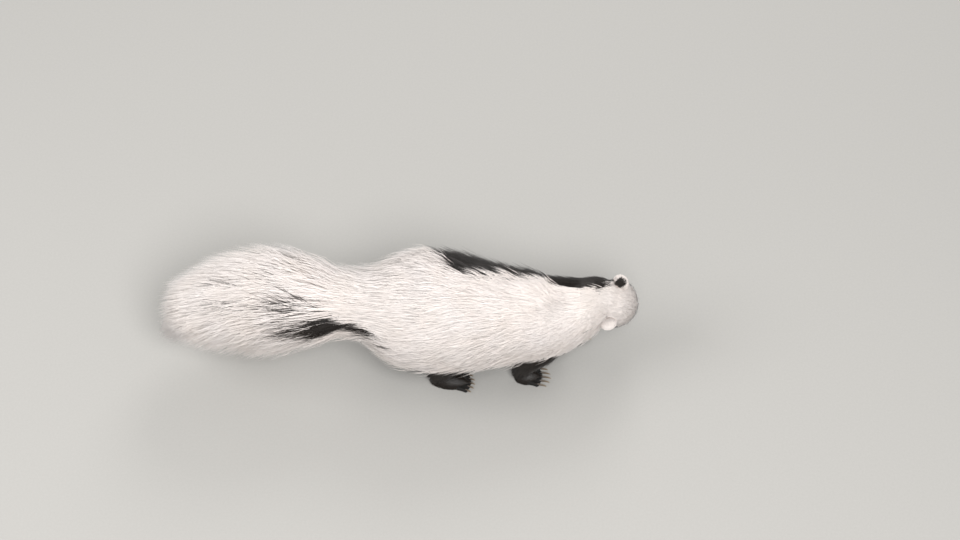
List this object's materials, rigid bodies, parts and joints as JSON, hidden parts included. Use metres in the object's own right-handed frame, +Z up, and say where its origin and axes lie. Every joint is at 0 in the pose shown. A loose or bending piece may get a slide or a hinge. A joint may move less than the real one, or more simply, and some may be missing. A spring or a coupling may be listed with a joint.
{
  "type": "striped skunk",
  "caption": "Life-size striped skunk standing with its head low and turned a little, its coat in overlapping locks and its bushy tail held straight out behind.",
  "frame": {"origin": "on the floor under the middle of the model's bounding box", "axes": "+X towards the nose, +Y towards the animal's left side, +Z up"},
  "size_m": [0.664, 0.1808, 0.2044],
  "materials": {
    "white_coat": "long soft white guard hair over dark underfur",
    "black_coat": "short to middling glossy black hair",
    "paw_skin": "black fur over bare dark pads, with pale horn claws",
    "nose_skin": "bare pebbled skin, slightly moist",
    "eye": "wet dark gloss"
  },
  "bodies": {
    "root": {"torso": "white_coat", "neck": "white_coat", "tail": "white_coat", "head": "black_coat", "ear_left": "black_coat", "ear_right": "black_coat", "foreleg_left": "black_coat", "foreleg_right": "black_coat", "hindleg_left": "black_coat", "hindleg_right": "black_coat", "forefoot_left": "paw_skin", "forefoot_right": "paw_skin", "hindfoot_left": "paw_skin", "hindfoot_right": "paw_skin", "nose": "nose_skin", "eye_left": "eye", "eye_right": "eye"}
  },
  "joints": []
}
